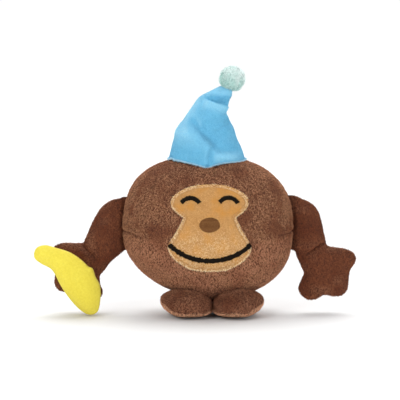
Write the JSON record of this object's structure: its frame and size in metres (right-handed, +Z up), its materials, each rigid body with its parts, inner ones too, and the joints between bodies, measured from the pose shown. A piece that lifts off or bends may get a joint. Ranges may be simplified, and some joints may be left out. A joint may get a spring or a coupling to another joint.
{
  "type": "plush toy monkey",
  "caption": "Soft stuffed monkey that stands on two feet, with a round body and face, flat hinged arms, a folded party hat with a pompom and a plush banana in one hand.",
  "frame": {"origin": "on the surface it stands on, in the middle of the bounding box", "axes": "+Z up; the face looks along -Y; +X is the monkey's own left, which a viewer in front sees on the right"},
  "size_m": [0.2721, 0.0986, 0.2089],
  "materials": {
    "body_plush": "short-pile plush",
    "limb_plush": "short-pile plush",
    "stuffing": "loose polyester fibre",
    "squeaker_plastic": "translucent moulded",
    "tan_patch": "short-pile plush",
    "tan_thread": "sewing thread",
    "black_thread": "satin stitch",
    "nose_thread": "satin stitch",
    "yellow_plush": "short-pile plush",
    "blue_fleece": "fleece",
    "mint_yarn": "fluffy cut pile",
    "label_ribbon": "smooth ribbon"
  },
  "bodies": {
    "torso": {"body_front_panel": "body_plush", "body_back_panel": "body_plush", "body_stuffing_front": "stuffing", "body_stuffing_back": "stuffing", "squeaker_bulb_back": "squeaker_plastic", "squeaker_reed_plug": "squeaker_plastic", "squeaker_reed": "squeaker_plastic", "face_patch": "tan_patch", "face_stitching_upper": "tan_thread", "face_stitching_chin": "tan_thread", "eye_embroidery_left": "black_thread", "eye_embroidery_right": "black_thread", "mouth_embroidery": "black_thread", "nose_embroidery": "nose_thread", "hat_cone_lower": "blue_fleece", "hat_tack_stitch": "blue_fleece"},
    "squeaker_front_cup": {"squeaker_bulb_front": "squeaker_plastic"},
    "hat_tip": {"hat_cone_tip": "blue_fleece", "pompom_tie": "mint_yarn"},
    "pompom_ball": {"pompom": "mint_yarn"},
    "label": {"care_label": "label_ribbon"},
    "banana": {"banana_front": "yellow_plush", "banana_back": "yellow_plush", "banana_stuffing": "stuffing"},
    "upper_arm_left": {"upper_arm_left_front": "limb_plush", "upper_arm_left_back": "limb_plush", "upper_arm_left_stuffing": "stuffing"},
    "hand_left": {"hand_left_front": "limb_plush", "hand_left_back": "limb_plush", "hand_left_stuffing": "stuffing"},
    "foot_left": {"foot_left_upper": "limb_plush", "foot_left_sole": "limb_plush", "foot_left_stuffing": "stuffing"},
    "upper_arm_right": {"upper_arm_right_front": "limb_plush", "upper_arm_right_back": "limb_plush", "upper_arm_right_stuffing": "stuffing"},
    "hand_right": {"hand_right_front": "limb_plush", "hand_right_back": "limb_plush", "hand_right_stuffing": "stuffing"},
    "foot_right": {"foot_right_upper": "limb_plush", "foot_right_sole": "limb_plush", "foot_right_stuffing": "stuffing"}
  },
  "joints": [
    {"name": "shoulder_left", "type": "hinge", "parent": "torso", "child": "upper_arm_left", "pos_m": [0.0834, 0.0012, 0.07825], "axis": [0.0264, 0, -0.9997], "range_deg": [-50, 50], "stiffness_Nm_per_rad": 0.02},
    {"name": "shoulder_right", "type": "hinge", "parent": "torso", "child": "upper_arm_right", "pos_m": [-0.0626, 0.0012, 0.07825], "axis": [0.0264, 0, 0.9997], "range_deg": [-50, 50], "stiffness_Nm_per_rad": 0.02},
    {"name": "wrist_left", "type": "hinge", "parent": "upper_arm_left", "child": "hand_left", "pos_m": [0.09925, 0.0012, 0.053], "axis": [-0.93, 0, -0.3676], "range_deg": [-30, 30], "stiffness_Nm_per_rad": 0.02},
    {"name": "wrist_right", "type": "hinge", "parent": "upper_arm_right", "child": "hand_right", "pos_m": [-0.08451, 0.0012, 0.05295], "axis": [-0.8502, 0, 0.5265], "range_deg": [-30, 30], "stiffness_Nm_per_rad": 0.02},
    {"name": "banana_swivel", "type": "hinge", "parent": "hand_right", "child": "banana", "pos_m": [-0.0976, -0.0188, 0.04], "axis": [0, 1, 0], "range_deg": [-20, 20], "stiffness_Nm_per_rad": 0.02},
    {"name": "ankle_left", "type": "hinge", "parent": "torso", "child": "foot_left", "pos_m": [0.036, 0.0137, 0.015], "axis": [1, 0, 0], "range_deg": [0, 25], "stiffness_Nm_per_rad": 0.01},
    {"name": "ankle_right", "type": "hinge", "parent": "torso", "child": "foot_right", "pos_m": [-0.0092, 0.0137, 0.015], "axis": [1, 0, 0], "range_deg": [0, 25], "stiffness_Nm_per_rad": 0.01},
    {"name": "hat_fold", "type": "hinge", "parent": "torso", "child": "hat_tip", "pos_m": [0.0266, 0.0012, 0.1764], "axis": [0, 1, 0], "range_deg": [-25, 35], "stiffness_Nm_per_rad": 0.02},
    {"name": "pompom_wobble", "type": "hinge", "parent": "hat_tip", "child": "pompom_ball", "pos_m": [0.02608, 0.0012, 0.19136], "axis": [0, 1, 0], "range_deg": [-20, 20], "stiffness_Nm_per_rad": 0.005},
    {"name": "label_flap", "type": "hinge", "parent": "torso", "child": "label", "pos_m": [0.0184, 0.0466, 0.052], "axis": [1, 0, 0], "range_deg": [0, 80]},
    {"name": "squeaker_press", "type": "slide", "parent": "torso", "child": "squeaker_front_cup", "axis": [0, 1, 0], "range_m": [0, 0.006], "stiffness_N_per_m": 200}
  ]
}
